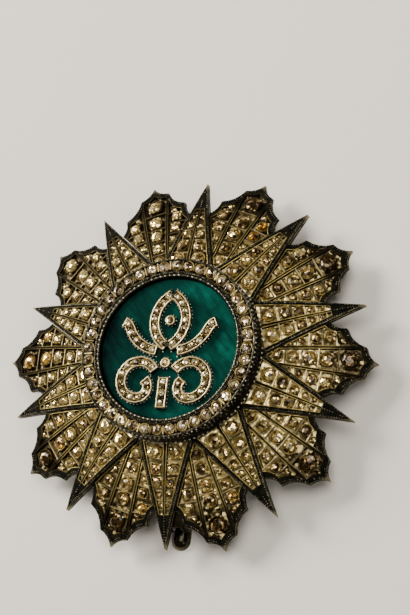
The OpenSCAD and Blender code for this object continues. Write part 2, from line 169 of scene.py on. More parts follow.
def middle_hw(x):
    return x * sin(radians(WALL_TURN * HALF_STEP)) - PETAL_WALL / 2


def cusp(row, inset=0.0):
    return polar(petal_along(row[1]) - inset, row[0] * HALF_STEP)


def on_wall(r, off):
    return complex(r, off) * polar(1, WALL_TURN * HALF_STEP)


def meet(a, b, c, d):
    """Where the lines ab and cd cross."""
    def cross(p, q):
        return (p.conjugate() * q).imag
    return a + (b - a) * cross(c - a, d - c) / cross(b - a, d - c)


def inside(p, outline):
    """Whether p lies inside a closed outline."""
    odd = False
    for a, b in zip(outline, outline[1:] + outline[:1]):
        if (a.imag > p.imag) != (b.imag > p.imag):
            odd ^= p.real < a.real + (b.real - a.real) * (p.imag - a.imag) / (b.imag - a.imag)
    return odd


def hollow(a, b, n=SCALLOP_N):
    """Points of a scallop from a to b, without b."""
    return [a + (b - a) * t + 1j * (b - a) * 4 * SCALLOP * t * (1 - t)
            for t in (i / n for i in range(n))]


def flip(points):
    return [p.conjugate() for p in reversed(points)]


def spike_channel(inset=0.0):
    x0, x1 = INNER_R + SEAT_W / 2, STAR_R - POINT_L - inset
    return [complex(x0, rib_hw(x0) + inset), complex(x1, rib_hw(x1) + inset),
            complex(x1, spike_hw(x1, SPIKE_WALL + inset)), complex(x0, spike_hw(x0, SPIKE_WALL + inset))]


def petal_side(side, edge):
    """The petal's straight edge at that inset, and where it meets its wall's face."""
    a, b = petal_edge(RING_R, edge), petal_edge(STAR_R, edge)
    return a, b, meet(a, b, on_wall(RING_R, side), on_wall(PETAL_R, side))


def middle_channel(inset=0.0):
    side = -PETAL_WALL / 2 - inset
    a, b, low = petal_side(side, EDGE_W + inset)
    high = on_wall(petal_along(CUSPS[1][1]) - BORDER_W - inset, side)
    left = hollow(PETAL_R - 2.2 * BORDER_W - inset + 0j, high) + [high, low]
    return [meet(a, b, 0j, RING_R + 0j)] + flip(left[1:]) + left


def side_channel(inset=0.0):
    side, edge = PETAL_WALL / 2 + inset, EDGE_W + inset
    low = petal_side(side, edge)[2]
    high = on_wall(petal_along(CUSPS[1][1]) - 1.9 * BORDER_W - inset, side)
    corner = cusp(CUSPS[0], 1.4 * BORDER_W + inset) * polar(1, -0.06 * HALF_STEP)
    last = petal_edge(petal_along(JOINT_ALONG) - BORDER_W, edge)
    return [low] + hollow(high, corner) + hollow(corner, last) + [last]


def petal_border(inset):
    """Points of the petal's scalloped outline on its left side, from the tip to the spike."""
    a, b, c = (cusp(row, inset) for row in reversed(CUSPS))
    joint = petal_edge(petal_along(JOINT_ALONG), inset)
    return hollow(a, b, 8) + hollow(b, c, 8) + hollow(c, joint, 8) + [joint]


def spike_turn(i):
    return 90 - i * 2 * HALF_STEP


def petal_turn(i):
    return spike_turn(i) - HALF_STEP


def stepped(points, step, closed=False):
    """The same path with its points evenly spaced, about step apart, corners kept when closed."""
    ring = list(points) + ([points[0]] if closed else [])
    out = []
    for a, b in zip(ring, ring[1:]):
        n = max(1, ceil(abs(b - a) / step))
        out += [a + (b - a) * k / n for k in range(n)]
    return out if closed else out + [ring[-1]]


def spaced(points, pitch):
    """Places at an even pitch along a path, each with its heading."""
    places, run = [], 0.0
    for a, b in zip(points, points[1:]):
        length = abs(b - a)
        while run < length:
            places.append((a + (b - a) * run / length, cmath.phase(b - a)))
            run += pitch
        run -= length
    return places


# Places on the dome and on the medallion, for copies of a size in millimetres

def above(p, z):
    return Vector((p.real, p.imag, z))


def raised(p, drop):
    """The point above p on the sphere that lies drop below the dome, in metres."""
    return above(p, TIP_LIFT + DOME_Z + sqrt((DOME_R - drop) ** 2 - abs(p) ** 2)) * MM


def placed(origin, heading, up, size):
    x = Vector((cos(heading), sin(heading), 0))
    x = (x - up * x.dot(up)).normalized()
    y = up.cross(x)
    turn = Matrix([axis * s * MM for axis, s in zip((x, y, up), size)]).transposed().to_4x4()
    return Matrix.Translation(origin * MM) @ turn


def dome_seat(p, heading, level, size):
    """A place at p that stands level above the dome."""
    up = above(p, sqrt(DOME_R ** 2 - abs(p) ** 2)) / DOME_R
    return placed(up * (DOME_R + level) + Vector((0, 0, TIP_LIFT + DOME_Z)), heading, up, size)


def floor_seat(p, heading, drop, size, lift=0.0):
    """A place at p on the floor of a ray's channel."""
    return dome_seat(p, heading, lift - drop - CHANNEL_D, size)


def flat_seat(p, heading, z, size):
    return placed(above(p, z), heading, Vector((0, 0, 1)), size)


def tilted(place, rng, most=11.0):
    """The place leaning a little, as stones set by hand do."""
    lean = radians(rng.uniform(-most, most)), radians(rng.uniform(-most, most))
    return place @ Matrix.Rotation(lean[0], 4, "X") @ Matrix.Rotation(lean[1], 4, "Y")


# Stones and crossbars of the rays

def stone_h(d):
    return min(CHANNEL_D + RAY_PROUD, STONE_SHARE * d)


def spike_row_places():
    for x, fill in ((spike_along(t), fill) for t, fill in SPIKE_ROW):
        low, high = rib_hw(x), spike_hw(x, SPIKE_WALL)
        for side in (-1, 1):
            yield complex(x, side * (low + high) / 2), fill * (high - low)


def middle_row_places():
    for x, fill in ((petal_along(t), fill) for t, fill in PETAL_ROW):
        yield complex(x), fill * 2 * middle_hw(x)


def side_row_places():
    for t, share, across in SIDE_ROW:
        x = petal_along(t)
        low, high = on_wall(x, PETAL_WALL / 2), petal_edge(x, EDGE_W)
        mid = low + (high - low) * across
        for side in (-1, 1):
            yield complex(mid.real, side * mid.imag), share * SIDE_STONE_D


def ray_stones():
    """All stones of the rays: kind, place in the star, diameter, drop and amber."""
    for i in range(RAY_N):
        way = polar(1, spike_turn(i))
        for p, d in spike_row_places():
            yield "spike", p * way, d, 0.0, 0.0
        way = polar(1, petal_turn(i))
        for kind, channel, row in (("petal", "middle", middle_row_places()),
                                   ("petal_side", "side", side_row_places())):
            for k, (p, d) in enumerate(row):
                yield kind, p * way, d, PETAL_DROP, AMBER.get((i, channel, k), 0.0)


def stone_tones(stones):
    """Added to the stones' tones: a painted highlight on the left and upper left, paler in the spikes' inner
    ends, dark at the tips.
    """
    def towards(p, angle):
        return max(0, cos(cmath.phase(p) - radians(angle)))
    # Painted highlight: stones paler towards the left and the upper left, where the key lamp glints
    tones = [0.45 * towards(p, 185) + 1.7 * towards(p, 138) ** 5 for _, p, *_ in stones]
    if stones[0][0] == "spike":
        tones = [t + 0.4 if abs(stone[1]) < RING_R + 3 else t for t, stone in zip(tones, stones)]
    if stones[0][0] == "petal":
        outermost = slice(None, None, len(PETAL_ROW))
        tones[outermost] = [a + b for a, b in zip(tones[outermost], OUTER_TONES)]
    return tones


def prong_places(stones, wide):
    """Four prongs round each stone of the rays, where its channel has room."""
    for _, p, d, drop, _ in stones:
        for quarter in range(4):
            q = p + polar(d / 2 + PRONG_OUT * wide, 45 + 90 * quarter) * p / abs(p)
            yield floor_seat(q, 0.0, drop, (wide, wide, SETTING_SHARE * stone_h(d) + PRONG_LIFT))


def between(xs, low, high, outline):
    """Bars midway between the stones of a channel, cut to its outline: place, heading and length."""
    xs = sorted(xs)
    for x in ((a + b) / 2 for a, b in zip(xs, xs[1:])):
        p, q = low(x), high(x)
        within = [s for s in (p + (q - p) * k / 60 for k in range(-6, 67)) if inside(s, outline)]
        if len(within) > 9:
            p, q = within[0], within[-1]
            yield (p + q) / 2, cmath.phase(q - p), abs(q - p)


def ray_bars():
    """All crossbars of the rays: place in the star, heading, length and drop."""
    xs = [spike_along(t) for t, _ in SPIKE_ROW]
    spike = list(between(xs + [2 * xs[-1] - xs[-2] - BAR_REACH], lambda x: complex(x, rib_hw(x)),
                         lambda x: complex(x, spike_hw(x, SPIKE_WALL)), spike_channel()))
    middle = list(between([petal_along(t) for t in [row[0] for row in PETAL_ROW] + [0.05]],
                          lambda x: complex(x, -middle_hw(x)), lambda x: complex(x, middle_hw(x)),
                          middle_channel()))
    side = list(between([petal_along(t) for t in [row[0] for row in SIDE_ROW] + [0.15]],
                        lambda x: on_wall(x, PETAL_WALL / 2), lambda x: petal_edge(x, EDGE_W),
                        side_channel()))
    for bars, drop, turn, sides in ((spike, 0.0, spike_turn, 2), (side, PETAL_DROP, petal_turn, 2),
                                    (middle, PETAL_DROP, petal_turn, 1)):
        for i in range(RAY_N):
            for p, heading, length in bars:
                for q, h in ((p, heading), (p.conjugate(), -heading))[:sides]:
                    yield q * polar(1, turn(i)), h + radians(turn(i)), length, drop


# Ribbons of the ornament, in complex millimetres

def scroll_line(arcs):
    """The middle line of a ribbon made of arcs: centre, radius, first and last angle."""
    line = []
    for x, y, r, first, last in arcs:
        n = max(2, ceil(abs(last - first) * r / 5))
        for i in range(1 if line else 0, n + 1):
            line.append((polar(r, first + (last - first) * i / n) + complex(x, y)) * ENAMEL_R)
    return line


def beside(line, off, cut):
    """The line moved sideways by off, with its ends cut back by cut."""
    last, out = len(line) - 1, []
    for i, p in enumerate(line):
        way = line[min(i + 1, last)] - line[max(i - 1, 0)]
        way /= abs(way)
        trim = cut if i == 0 else -cut if i == last else 0
        out.append(p + 1j * way * off + way * trim)
    return out


RIGHT_LINES = [scroll_line(arcs) for arcs in SCROLLS]
RIBBONS = (RIGHT_LINES + [[-p.conjugate() for p in line] for line in RIGHT_LINES]
           + [[p * ENAMEL_R for p in LEAF]])
BUTTONS = [p * ENAMEL_R for p in SETTINGS]


def ribbon_places(line):
    """Evenly spaced places of a ribbon's stones."""
    run = np.cumsum([0.0] + [abs(b - a) for a, b in zip(line, line[1:])])
    end = RIBBON_EDGE + RIBBON_STONE_D / 2 + GAP
    room = run[-1] - 2 * end
    n = int(room // RIBBON_PITCH)
    return [complex(np.interp(end + room * k / n, run, line)) for k in range(n + 1)]


def ribbon_prongs(floor_z):
    """Pairs of prongs between the stones of each ribbon."""
    for row in map(ribbon_places, RIBBONS):
        for a, b in zip(row, row[1:]):
            for side in (-1, 1):
                q = (a + b) / 2 + RIBBON_PRONG_OUT * 1j * side * (b - a) / abs(b - a)
                yield flat_seat(q, 0.0, floor_z, RIBBON_PRONG)


def near(p, line):
    """Distance from p to a line of points."""
    best = 1e9
    for a, b in zip(line, line[1:]):
        t = max(0, min(1, ((p - a) * (b - a).conjugate()).real / abs(b - a) ** 2))
        best = min(best, abs(p - a - (b - a) * t))
    return best


def covered(p, own, reach):
    """Whether p lies inside another ribbon or a round setting."""
    return (any(near(p, line) < reach for i, line in enumerate(RIBBONS) if i != own)
            or any(abs(p - b) < reach for k, b in enumerate(BUTTONS) if own != ("button", k)))


def clear_runs(points, own, reach):
    """The stretches of a path that no other ribbon covers."""
    stretches, now = [], []
    for p in points:
        if covered(p, own, reach):
            if len(now) > 1:
                stretches.append(now)
            now = []
        else:
            now.append(p)
    return stretches + ([now] if len(now) > 1 else [])


# Nodes

def join(tree, node, inputs):
    """Sets or links a node's inputs."""
    for key, value in inputs.items():
        if isinstance(value, bpy.types.NodeSocket):
            tree.links.new(value, node.inputs[key])
        else:
            node.inputs[key].default_value = value


def put(tree, kind, inputs=None, **settings):
    """Adds a shader node with its settings and its inputs."""
    node = tree.nodes.new("ShaderNode" + kind)
    for key, value in settings.items():
        setattr(node, key, value)
    join(tree, node, inputs or {})
    return node


def number(tree, operation, a, b, clamp=False):
    return put(tree, "Math", {0: a, 1: b}, operation=operation, use_clamp=clamp).outputs[0]


def times(tree, a, b):
    return number(tree, "MULTIPLY", a, b)


def mixed(tree, first, *others):
    """A sum of values, each given with its share, kept between 0 and 1."""
    total = times(tree, *first)
    for other in others:
        total = number(tree, "ADD", total, times(tree, *other), True)
    return total


def vector(tree, operation, a, b=(0.0, 0.0, 0.0)):
    """Vector arithmetic: a vector, or a number where the operation gives one."""
    node = put(tree, "VectorMath", {0: a, 3 if operation == "SCALE" else 1: b}, operation=operation)
    return node.outputs["Value" if operation in {"DISTANCE", "DOT_PRODUCT", "LENGTH"} else "Vector"]


def span(tree, value, low, high, out_low=0.0, out_high=1.0):
    """The value's way from low to high, eased and stretched to another span."""
    return put(tree, "MapRange", {"Value": value, "From Min": low, "From Max": high, "To Min": out_low,
                                  "To Max": out_high}, interpolation_type="SMOOTHSTEP").outputs[0]


def rgba(colour):
    return (*colour[:3], 1.0)


def shade(colour, share):
    return [c * share for c in colour]


def blend(tree, share, a, b, mode="MIX"):
    """A colour mix; share, a and b may be values or sockets."""
    a, b = (c if isinstance(c, bpy.types.NodeSocket) else rgba(c) for c in (a, b))
    return put(tree, "Mix", {0: share, 6: a, 7: b}, data_type="RGBA", blend_type=mode).outputs[2]


def layered(tree, colour, *layers):
    """The colour with others laid over it in turn, each given as its share and its colour."""
    for share, over in layers:
        colour = blend(tree, share, colour, over)
    return colour


def blend_value(tree, share, a, b):
    return put(tree, "Mix", {0: share, 2: a, 3: b}, data_type="FLOAT").outputs[0]


def ramp(tree, value, stops):
    """A colour ramp; its stops are given from low to high."""
    node = put(tree, "ValToRGB", {0: value})
    elements = node.color_ramp.elements
    for k, (place, colour) in enumerate(stops):
        stop = elements[k] if k < 2 else elements.new(place)
        stop.position, stop.color = place, rgba(colour)
    return node.outputs[0]


def bump(tree, height, distance, strength):
    return put(tree, "Bump", {"Height": height, "Distance": distance, "Strength": strength}).outputs[0]


def noise(tree, place, scale, detail, rough=0.5):
    return put(tree, "TexNoise", {"Vector": place, "Scale": scale, "Detail": detail,
                                  "Roughness": rough}).outputs[0]


def mark(tree, key):
    """A number that each face of a scattered piece carries."""
    return put(tree, "Attribute", attribute_name=key).outputs["Fac"]


def group(tree, name, inputs, outputs, wire):
    """Places the node group of that name and gives its outputs; wire builds them at its first use."""
    def kind(label):
        return "NodeSocketVector" if label in {"Vector", "Normal"} else "NodeSocketFloat"
    if name not in bpy.data.node_groups:
        made = bpy.data.node_groups.new(name, "ShaderNodeTree")
        for way, labels in (("INPUT", inputs), ("OUTPUT", outputs)):
            for label in labels:
                made.interface.new_socket(label, in_out=way, socket_type=kind(label))
        entry, leave = made.nodes.new("NodeGroupInput"), made.nodes.new("NodeGroupOutput")
        for label, value in zip(outputs, wire(made, entry.outputs)):
            made.links.new(value, leave.inputs[label])
    return put(tree, "Group", inputs, node_tree=bpy.data.node_groups[name]).outputs


def tarnish(tree, place, scale):
    """Patches of tarnish, and fine grain for the bump."""
    def wire(inner, given):
        patch = noise(inner, given["Vector"], given["Scale"], 5.0, 0.62)
        grain = noise(inner, given["Vector"], times(inner, given["Scale"], 7.0), 3.0)
        return span(inner, patch, 0.38, 0.66), grain
    return group(tree, "Tarnish", {"Vector": place, "Scale": scale}, ("Patch", "Grain"), wire)


def dome_depth(tree, place, top=DOME_R * MM):
    """A mask of the channel floors, by depth below the dome's top, and the reach from the axis."""
    def wire(inner, given):
        far = vector(inner, "DISTANCE", given["Vector"], (0.0, 0.0, (TIP_LIFT + DOME_Z) * MM))
        below = number(inner, "SUBTRACT", given["Top"], far)
        floor = number(inner, "SUBTRACT", span(inner, below, *FLOOR_IN), span(inner, below, *FLOOR_OUT), True)
        flat = vector(inner, "MULTIPLY", given["Vector"], (1.0, 1.0, 0.0))
        return floor, vector(inner, "LENGTH", flat)
    return group(tree, "Dome depth", {"Vector": place, "Top": top}, ("Floor", "Reach"), wire)


def small_facets(tree, place, scale, lean):
    """Small facets as in a cut stone: a value for each, the dark lines between, a leaning normal."""
    def wire(inner, given):
        cells, rims = (put(inner, "TexVoronoi", {"Vector": given["Vector"], "Scale": given["Scale"]},
                           feature=kind).outputs for kind in ("F1", "DISTANCE_TO_EDGE"))
        way = vector(inner, "SUBTRACT", cells["Color"], (0.5, 0.5, 0.5))
        plain = put(inner, "NewGeometry").outputs["Normal"]
        leaning = vector(inner, "ADD", plain, vector(inner, "SCALE", way, given["Lean"]))
        value = put(inner, "SeparateColor", {0: cells["Color"]}).outputs[0]
        return value, span(inner, rims["Distance"], 0.02, 0.10), vector(inner, "NORMALIZE", leaning)
    return group(tree, "Small facets", {"Vector": place, "Scale": scale, "Lean": lean},
                 ("Value", "Lines", "Normal"), wire)


# Materials

def material(name):
    """A new material, its tree and its Object coordinates."""
    made = bpy.data.materials.new(name)
    made.use_nodes = True
    return made, made.node_tree, put(made.node_tree, "TexCoord").outputs["Object"]


def feed(made, colour, rough, normal, metal=1.0, coat=0.0):
    """Feeds the material's shader and gives the material."""
    join(made.node_tree, made.node_tree.nodes["Principled BSDF"], {
        "Base Color": colour, "Roughness": rough, "Normal": normal, "Metallic": metal,
        "Coat Weight": coat, "Coat Roughness": 0.03})
    return made


def dark_silver(name, dark, wear_and_sheen, patch_share=0.35, scale=700.0, rough=(0.5, 0.34)):
    """Black oxidised silver, rubbed in patches; on the back plate the patches are also a painted golden
    sheen.
    """
    made, tree, place = material(name)
    patch, grain = tarnish(tree, place, scale)
    return feed(made, blend(tree, times(tree, patch, patch_share), dark, wear_and_sheen), span(tree, patch, 0, 1, *rough),
                bump(tree, grain, ROUGH_GRAIN, 0.6))


def ray_silver(name, finish, drop, tip, pale):
    """Silver of a ray: dark walls, a rubbed tip with a painted reflection, channel floors gilt as far as pale
    and dark beyond, painted shade, light and glints.
    """
    made, tree, place = material(name)
    floor, reach = dome_depth(tree, place, (DOME_R - drop) * MM)
    patch, grain = tarnish(tree, place, 800.0)
    cell, _, crumpled = small_facets(tree, place, 1500.0, 0.7)
    side = vector(tree, "DOT_PRODUCT", place, SHADED_WAY)
    gilt = ramp(tree, span(tree, reach, pale - 0.003, pale + 0.018), [
        (0.16, finish.pale_gilt), (0.36, finish.floor_gilt), (0.68, shade(finish.dark_gilt, 0.6))])
    # Painted glints: pale flecks on the bright cells of the crumpled gilding, more of them inwards
    painted_glints = times(tree, span(tree, cell, 0.5, 0.75),
                   span(tree, reach, pale + 0.009, pale + 0.001, 0.3, 0.9))
    # Painted light: paler gilding on the inner floors towards the lower right
    painted_light = times(tree, span(tree, side, -0.004, -0.018, 0.0, 0.6),
                  span(tree, reach, pale + 0.012, pale + 0.002))
    # Over the gilding: tarnished patches, darker cells, painted glints, painted shade towards the upper left,
    # painted light towards the lower right
    gilt = layered(tree, gilt, (times(tree, patch, 0.45), finish.dark_gilt),
                   (span(tree, cell, 0.45, 0.15, 0.0, 0.85), finish.dark_gilt),
                   (painted_glints, finish.pale_gilt),
                   (span(tree, side, 0.0, SHADED_FAR, 0.0, 0.6), finish.dark_gilt),
                   (painted_light, finish.pale_gilt))
    # Walls: dark silver, rubbed in patches, lighter at the tip as rubbed metal with a painted reflection
    wall = layered(tree, finish.dark_silver, (times(tree, patch, 0.3), finish.worn_silver),
                   (span(tree, reach, tip - 0.0012, tip), finish.edge_silver))
    normal = put(tree, "Mix", {0: floor, 4: bump(tree, grain, ROUGH_GRAIN, 0.5), 5: crumpled},
                 data_type="VECTOR").outputs[1]
    return feed(made, blend(tree, floor, wall, gilt), blend_value(tree, floor, 0.75, 0.32), normal,
                blend_value(tree, floor, 1.0, 0.8))


def gilt_silver(name, colour, darker_colour, scale, far=(0.06, 0.07), toned=False):
    """Gilt silver, darker in patches, beyond a reach and, as painted shade, towards the upper left; toned
    copies differ in how dark they are.
    """
    made, tree, place = material(name)
    patch, grain = tarnish(tree, place, scale)
    side = vector(tree, "DOT_PRODUCT", place, SHADED_WAY)
    darkening = times(tree, patch, 0.6)
    # Painted shade: the gilding darker towards the upper left
    darkenings = [span(tree, side, 0.0, SHADED_FAR, 0.0, 0.88)]
    if toned:
        darkenings.append(span(tree, mark(tree, "tone"), 0.2, 0.7, 0.0, 0.92))
    for other in darkenings + [span(tree, dome_depth(tree, place)["Reach"], *far)]:
        darkening = number(tree, "MAXIMUM", darkening, other)
    return feed(made, blend(tree, darkening, colour, darker_colour), span(tree, patch, 0, 1, 0.34, 0.5),
                bump(tree, grain, FINE_GRAIN, 0.4))


def cut_stone(name, finish, pale, mid, scale):
    """A foiled cut stone: each facet has its own tone, its light and dark facets and the dark lines between
    them painted as reflections; some stones are amber.
    """
    made, tree, place = material(name)
    cell, lines, normal = small_facets(tree, place, scale, 0.6)
    # Painted reflections: the facet, the cell and the stone's tone, which carries the painted highlight, pick
    # how light each facet is
    light = mixed(tree, (mark(tree, "facet"), 0.42), (cell, 0.42), (mark(tree, "tone"), 0.24))
    colour = ramp(tree, light, [(0.38, finish.stone_deep), (0.45, shade(mid, 0.38)), (0.53, mid),
                                (0.62, pale)])
    colour = blend(tree, lines, shade(mid, 0.3), colour)
    colour = blend(tree, mark(tree, "amber"), colour, finish.amber, "MULTIPLY")
    return feed(made, colour, 0.08, normal, metal=0.75, coat=0.4)


def grain_silver(name, dark, bright, share, metal=0.9):
    """Metal of beads and prongs: about that share of them is painted bright as glints, the others are dark.
    """
    made, tree, place = material(name)
    patch, grain = tarnish(tree, place, 1500.0)
    colour = ramp(tree, mark(tree, "tone"), [(max(0.0, 0.7 - share), dark), (1.3 - share, bright)])
    return feed(made, blend(tree, times(tree, patch, 0.4), colour, dark), 0.3,
                bump(tree, grain, FINE_GRAIN, 0.4), metal)


def guilloche_enamel(name, finish):
    """Green enamel over engine-turned silver: lined below, smooth above, with painted shade towards the left.
    """
    made, tree, place = material(name)
    turned = put(tree, "Mapping", {"Vector": place, "Rotation": (0.0, 0.0, radians(90 - finish.line_turn))})
    drawn = put(tree, "Mapping", {"Vector": turned.outputs[0], "Scale": (900.0, 150.0, 1.0)})
    waves = put(tree, "TexWave", {"Vector": turned.outputs[0], "Scale": finish.line_scale,
                "Distortion": 0.6, "Detail": 1.0, "Detail Scale": 0.6}, wave_type="BANDS",
                bands_direction="X", wave_profile="SIN").outputs["Fac"]
    streaks = noise(tree, drawn.outputs[0], 1.0, 2.0)
    mottle = noise(tree, place, 170.0, 5.0, 0.6)
    # Painted shade: the enamel darker towards the left
    across = vector(tree, "DOT_PRODUCT", place, (0.99, 0.12, 0.0))
    light = number(tree, "ADD", mixed(tree, (waves, 0.10), (streaks, 0.32), (mottle, 0.66)),
                   span(tree, across, -0.016, 0.004, -0.20, 0.02), True)
    colour = ramp(tree, light, [(0.25, finish.enamel_deep), (0.55, finish.enamel),
                                (0.85, finish.enamel_light)])
    made.node_tree.nodes["Principled BSDF"].inputs["Specular IOR Level"].default_value = 0.1
    return feed(made, colour, 0.18, bump(tree, waves, FINE_GRAIN, 0.2), metal=0.1, coat=0.1)


# Pieces

def mode(kind):
    bpy.ops.object.mode_set(mode=kind)


def calm():
    """Leaves nothing selected."""
    if bpy.context.object and bpy.context.object.mode != "OBJECT":
        mode("OBJECT")
    bpy.ops.object.select_all(action="DESELECT")


def pick(piece):
    calm()
    piece.select_set(True)
    bpy.context.view_layer.objects.active = piece
    return piece


def added(name, data):
    piece = bpy.data.objects.new(name, data)
    bpy.context.scene.collection.objects.link(piece)
    return piece


def seated(piece, slot, *materials_of):
    """Gives a piece its materials and its place in the frame."""
    for made in materials_of:
        piece.data.materials.append(made)
    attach(piece, "root")
    return piece


def softened(node, width, body, edge, slot, name=None):
    """A copy of a solid, merged and with its edges bevelled in a finish of their own."""
    piece = pick(added(name or node + "_shape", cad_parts[node].data.copy()))
    piece.data.materials.clear()
    mode("EDIT")
    bpy.ops.mesh.select_all(action="SELECT")
    bpy.ops.mesh.remove_doubles(threshold=0.000002)
    bpy.ops.mesh.dissolve_limited(angle_limit=radians(1))
    mode("OBJECT")
    edges = piece.modifiers.new("edges", "BEVEL")
    edges.width, edges.segments, edges.limit_method, edges.angle_limit = width, 2, "ANGLE", radians(32)
    edges.material, edges.use_clamp_overlap = 1, True
    seated(piece, slot, body, edge)
    bpy.ops.object.modifier_apply(modifier="edges")
    bpy.ops.object.shade_smooth_by_angle(angle=radians(30))
    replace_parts(piece, node)


def sector(face):
    """Which eighth of a model a face lies in, or 9 in its middle."""
    middle = complex(*face.center[:2])
    return 9 if abs(middle) < 0.05 else int((cmath.phase(middle) / pi + 1) * 3.999)


def from_lowest(corners):
    """A face's corners in their order, starting at the lowest number."""
    k = corners.index(min(corners))
    return corners[k:] + corners[:k]


def scatter(name, model, places, slot, made, seed=1, tones=None, ambers=None):
    """Joins a copy of the model at each place into one piece, with a tone for each copy and facet."""
    points = np.array([v.co[:] + (1.0,) for v in model.data.vertices])
    # Extruded faces come in another order in each run, so they are sorted
    order = sorted(model.data.polygons, key=lambda f: sorted(f.vertices))
    faces = [from_lowest(tuple(f.vertices)) for f in order]
    sectors, smooth = [sector(f) for f in order], [f.use_smooth for f in order]
    n = len(points)
    all_points = [(points @ np.array(place).T)[:, :3] for place in places]
    all_faces = [tuple(v + k * n for v in f) for k in range(len(places)) for f in faces]
    mesh = bpy.data.meshes.new(name)
    mesh.from_pydata(np.concatenate(all_points).tolist(), [], all_faces)
    mesh.polygons.foreach_set("use_smooth", smooth * len(places))
    rng = random.Random(seed)
    tones = [rng.random() + t for t in tones or [0.0] * len(places)]
    facets = [[rng.random() for _ in range(9)] + [0.5 * rng.random()] for _ in places]
    per_face = {"tone": [t for t in tones for _ in faces],
                "facet": [0.7 * own[s] + 0.3 * rng.random() for own in facets for s in sectors],
                "amber": [a for a in (ambers or [0.0] * len(places)) for _ in faces]}
    for key, values in per_face.items():
        mesh.attributes.new(key, "FLOAT", "FACE").data.foreach_set("value", values)
    bpy.data.objects.remove(model)
    return seated(added(name, mesh), slot, made)


def wires(name, paths, radius, slot, made, closed=False):
    """Round wires along paths of points in metres, made a mesh."""
    calm()
    bpy.ops.curve.primitive_bezier_curve_add()
    piece = bpy.context.object
    piece.name, curve = name, piece.data
    curve.splines.clear()
    for path in paths:
        spline = curve.splines.new("POLY")
        spline.points.add(len(path) - 1)
        for point, p in zip(spline.points, path):
            point.co = (*p, 1.0)
        spline.use_cyclic_u = closed
    curve.dimensions, curve.use_fill_caps = "3D", True
    curve.bevel_depth, curve.bevel_resolution = radius, 1
    bpy.ops.object.convert(target="MESH")
    bpy.ops.object.shade_smooth()
    return seated(bpy.context.object, slot, made)


# Models of what repeats, in units that a place scales

def grow_face(piece, way, lift, shrink, turn=0.0):
    """Extrudes the end face that looks up or down, shrinks it and turns it."""
    pick(piece)
    mode("EDIT")
    bpy.ops.mesh.select_mode(type="FACE")
    bpy.ops.mesh.select_all(action="DESELECT")
    mode("OBJECT")
    ends = [f for f in piece.data.polygons if way * f.normal.z > 0.9 and len(f.vertices) > 4]
    end = max(ends, key=lambda f: way * f.center.z)
    for f in piece.data.polygons:
        f.select = f.index == end.index
    centre = (end.center.x, end.center.y, end.center.z + lift)
    mode("EDIT")
    bpy.ops.mesh.extrude_region_move(TRANSFORM_OT_translate={"value": (0, 0, lift)})
    bpy.ops.transform.resize(value=(shrink, shrink, 1), center_override=centre)
    if turn:
        bpy.ops.transform.rotate(value=turn, orient_axis="Z", center_override=centre)
    mode("OBJECT")


def grown(sides, radius, depth, middle, steps):
    """A model that starts as a cylinder and grows in steps."""
    calm()
    bpy.ops.mesh.primitive_cylinder_add(vertices=sides, radius=radius, depth=depth, location=(0, 0, middle))
    bpy.ops.object.transform_apply(location=True, rotation=True, scale=True)
    piece = bpy.context.object
    for step in steps:
        grow_face(piece, *step)
    return pick(piece)


def cut_model():
    """A cut stone 1 across and 1 high, standing on its point, with large plain facets."""
    stone = grown(8, 0.5, 0.06, 0.42, CUT_STEPS)
    mode("EDIT")
    bpy.ops.mesh.select_all(action="SELECT")
    bpy.ops.mesh.vert_connect_nonplanar(angle_limit=radians(1))
    mode("OBJECT")
    return stone


def collet_model():
    """A round setting 1 across inside and 1 high, wider at its foot."""
    collet = grown(16, COLLET_FOOT / 2, 1.0, 0.5, COLLET_STEPS)
    bpy.ops.object.shade_smooth_by_angle(angle=radians(40))
    return collet


def prong_model():
    """A prong 1 across and 1 high, with a rounded top."""
    prong = grown(6, 0.5, 0.75, 0.375, PRONG_STEPS)
    bpy.ops.object.shade_smooth_by_angle(angle=radians(50))
    return prong


def bar_model():
    """A crossbar 1 long, 1 wide and 1 high, rounded on top."""
    calm()
    bpy.ops.mesh.primitive_cube_add(size=1.0, location=(0, 0, 0.5))
    bar = bpy.context.object
    bpy.ops.object.transform_apply(location=True, rotation=True, scale=True)
    mode("EDIT")
    bpy.ops.mesh.select_mode(type="EDGE")
    bpy.ops.mesh.select_all(action="DESELECT")
    mode("OBJECT")
    for e in bar.data.edges:
        a, b = (bar.data.vertices[v].co for v in e.vertices)
        e.select = a.z > 0.9 and b.z > 0.9 and abs(a.y - b.y) < 0.1
    mode("EDIT")
    bpy.ops.mesh.bevel(offset=0.3, offset_type="OFFSET", segments=2)
    mode("OBJECT")
    return bar


def grain_model():
    """A grain of beading 1 across."""
    calm()
    bpy.ops.mesh.primitive_ico_sphere_add(subdivisions=1, radius=0.5)
    bpy.ops.object.shade_smooth()
    return bpy.context.object


def length(label, description, default):
    return FloatProperty(name=label, description=description, default=default, unit="LENGTH")


def colour(label, description, default):
    return FloatVectorProperty(name=label, description=description, default=default, subtype="COLOR",
                               size=3, min=0, max=1)


class StarSizes(bpy.types.PropertyGroup):
    edge: length("Edge Bevel", "Width of the rubbed edges of the rays", 0.00009)
    plate_edge: length("Plate Bevel", "Width of the edges of the back plate", 0.00018)
    pin_edge: length("Pin Bevel", "Width of the edges of the pin", 0.00008)
    line: length("Gilt Line", "Radius of the gilt lines along the channels", 0.00011)
    bar: length("Crossbar Width", "Width of the bars between the stones", 0.00027)
    collet: length("Collet Rim", "Width of a setting's rim round its stone", 0.00013)
    prong: length("Prong", "Width of the prongs round a stone", 0.00052)
    grain: length("Grain", "Diameter of the grains of beading", 0.00030)
    pitch: length("Grain Pitch", "Distance between grains", 0.00056)
    seed: IntProperty(name="Seed", description="Picks the tones of stones and facets", default=7, min=0)


